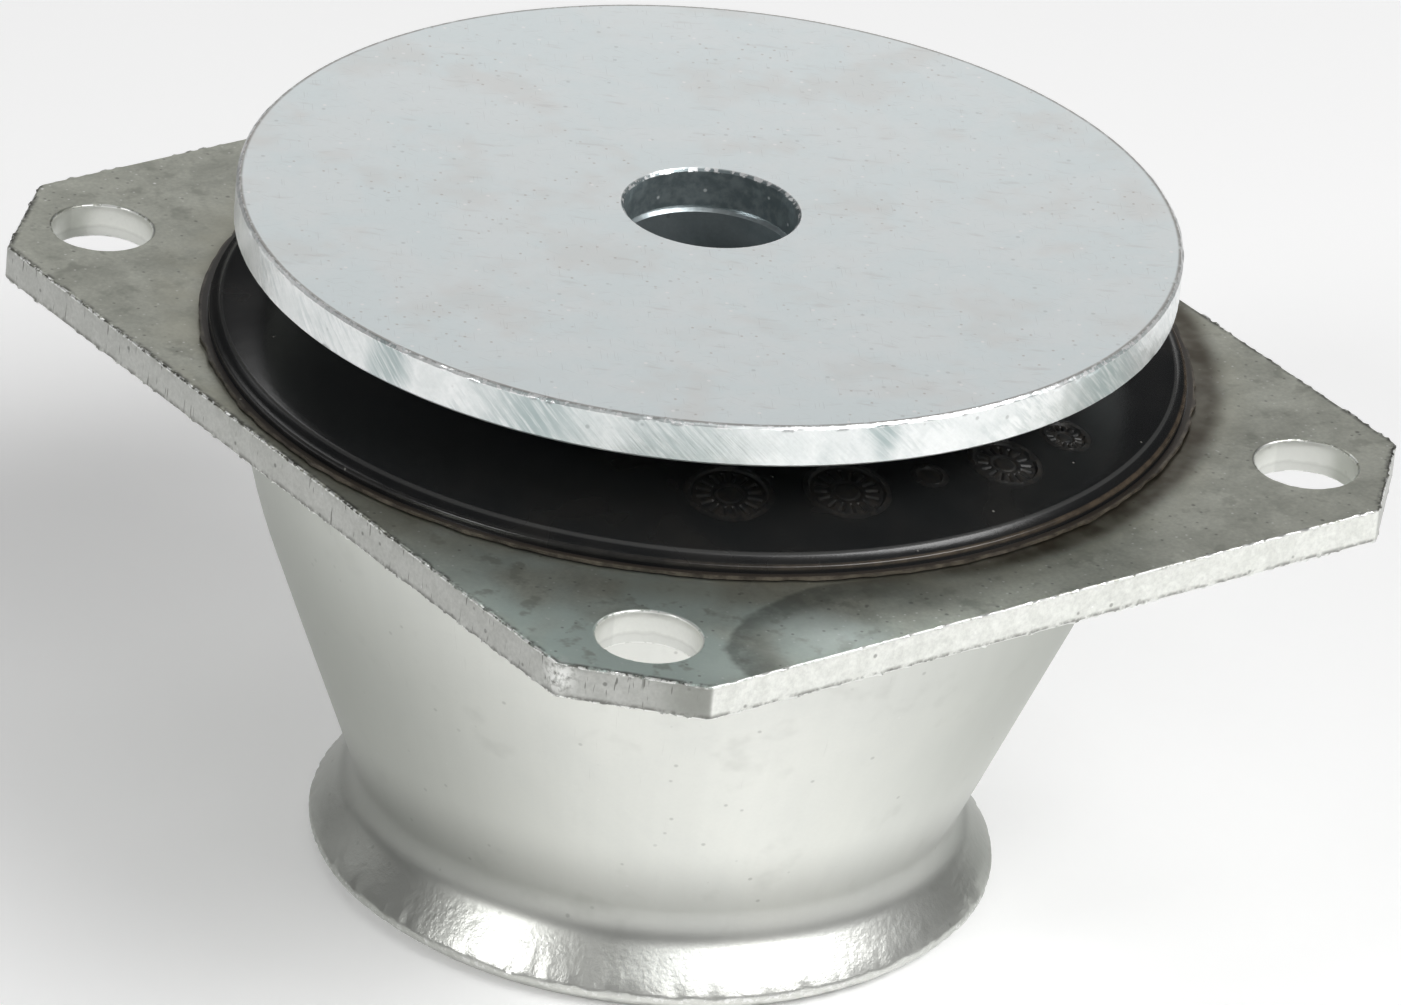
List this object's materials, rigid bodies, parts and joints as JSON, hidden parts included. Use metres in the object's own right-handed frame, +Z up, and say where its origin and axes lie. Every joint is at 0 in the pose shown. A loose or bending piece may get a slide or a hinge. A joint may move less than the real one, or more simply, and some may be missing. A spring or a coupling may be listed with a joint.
{
  "type": "conical rubber mount",
  "caption": "Conical anti-vibration mount: flanged pressed-steel cone with a flared foot, bonded rubber, bored steel core and a round top washer.",
  "frame": {"origin": "centre of the flared lower rim, on the plane that the mount stands on", "axes": "+Z up along the cone's axis towards the top washer, +X along the flange's shorter side, +Y along its longer side"},
  "size_m": [0.141, 0.163, 0.1],
  "materials": {
    "housing_zinc": "zinc plated pressed steel, satin, slightly olive on the flange",
    "black_rubber": "black moulded natural rubber, satin to glossy skin",
    "core_zinc": "zinc plated turned steel",
    "washer_zinc": "bright zinc plated plate, cut edge with fine tool marks"
  },
  "bodies": {
    "housing_body": {"housing": "housing_zinc", "rubber_cone": "black_rubber"},
    "core_body": {"inner_core": "core_zinc", "top_washer": "washer_zinc"}
  },
  "joints": [
    {"name": "axial_travel", "type": "slide", "parent": "housing_body", "child": "core_body", "axis": [0, 0, 1], "range_m": [-0.012, 0.004], "stiffness_N_per_m": 200000, "deforming": ["rubber_cone"]}
  ]
}
